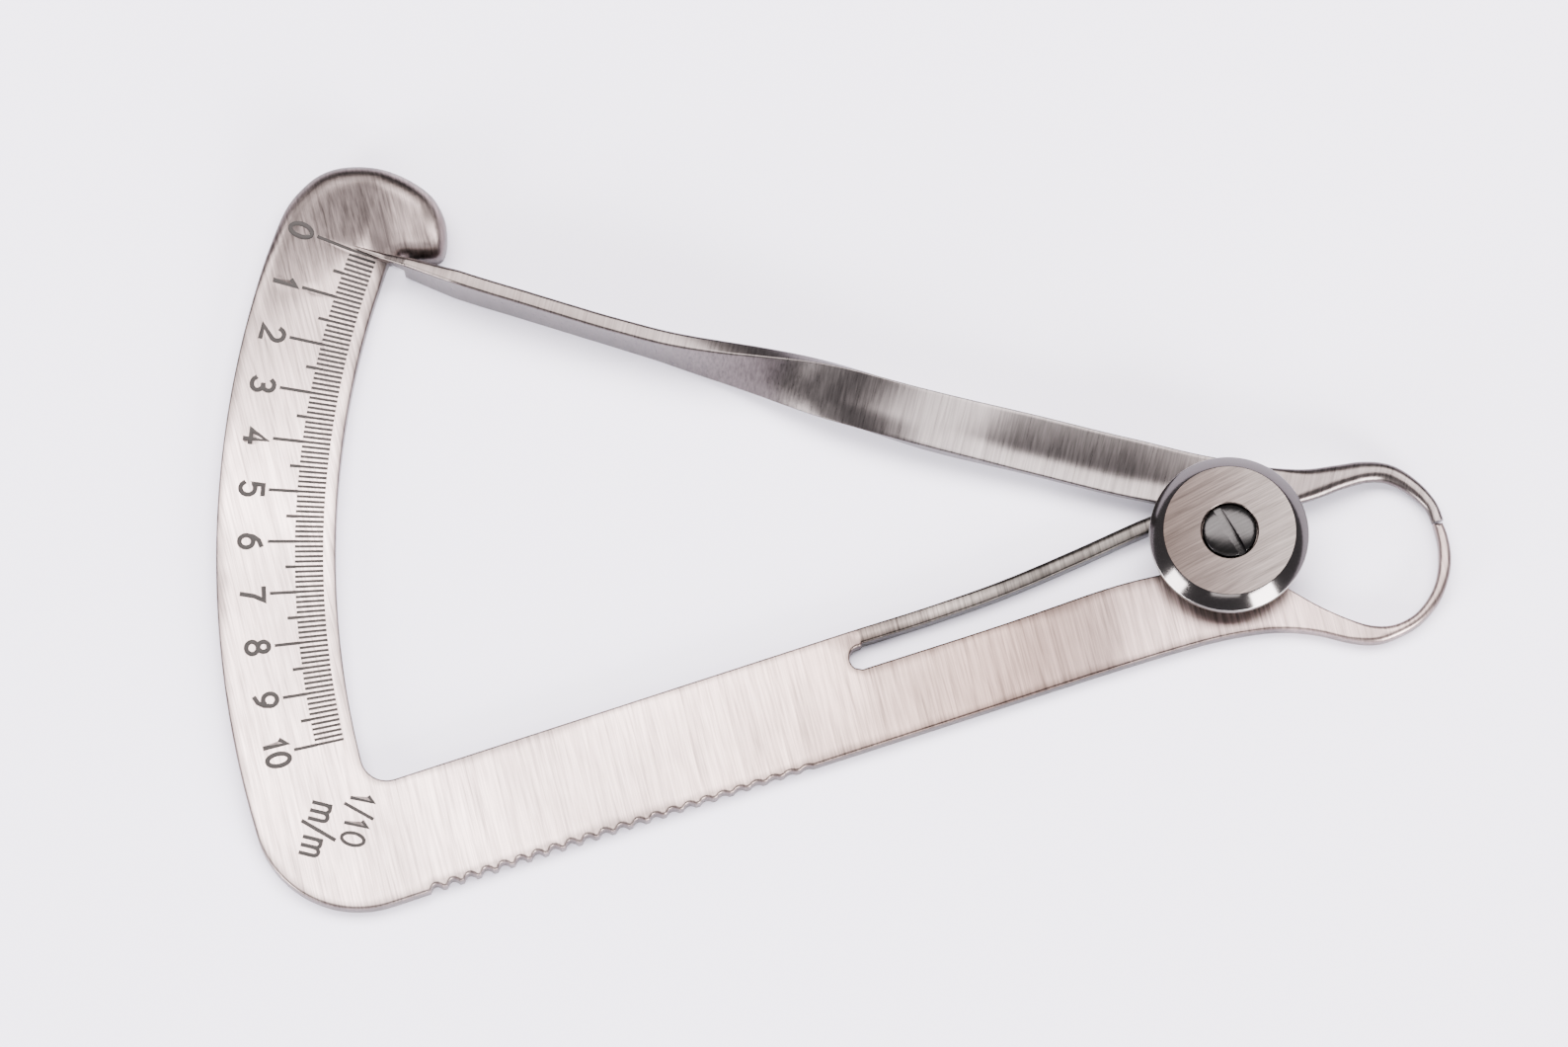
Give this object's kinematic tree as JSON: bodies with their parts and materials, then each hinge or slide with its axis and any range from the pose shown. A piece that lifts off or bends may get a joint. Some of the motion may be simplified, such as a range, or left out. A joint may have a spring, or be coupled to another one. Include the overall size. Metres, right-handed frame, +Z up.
{
  "type": "decimal thickness caliper",
  "caption": "Spring-return thickness caliper with curved closed jaws, a twisted pointer arm and a decimal arc scale that reads in tenths of a millimetre.",
  "frame": {"origin": "on the pivot axis, at the underside of the scale plate", "axes": "+X from the pivot to the measuring jaws, +Y from the lower arm to the pointer arm, +Z up from the underside through the cap"},
  "size_m": [0.1055, 0.0656, 0.0056],
  "materials": {
    "plate_steel": "fine brushed satin stainless, with dark filled graduations",
    "arm_steel": "brushed and lightly polished stainless",
    "cap_steel": "straight-brushed face with a polished bevel",
    "screw_steel": "polished dome with a sawn slot",
    "turned_steel": "turned",
    "washer_steel": "rolled strip"
  },
  "bodies": {
    "frame": {"scale_plate": "plate_steel", "pivot_barrel": "turned_steel", "thrust_washer": "washer_steel", "spring_washer": "washer_steel", "pivot_cap": "cap_steel", "pivot_screw": "screw_steel"},
    "pointer": {"pointer_arm": "arm_steel", "spring_stud": "turned_steel"},
    "leaf": {"leaf_spring": "plate_steel"}
  },
  "joints": [
    {"name": "pointer_pivot", "type": "hinge", "parent": "frame", "child": "pointer", "pos_m": [0, 0, 0], "axis": [0, 0, 1], "range_deg": [0, 32.2], "stiffness_Nm_per_rad": 0.06, "springref_deg": -17.19},
    {"name": "leaf_flex", "type": "hinge", "parent": "frame", "child": "leaf", "pos_m": [-0.03145, -0.00825, 0.00075], "axis": [0, 0, 1], "range_deg": [-6, 0]}
  ],
  "couplings": [
    {"joint": "leaf_flex", "follows": "pointer_pivot", "ratio": -0.18}
  ]
}
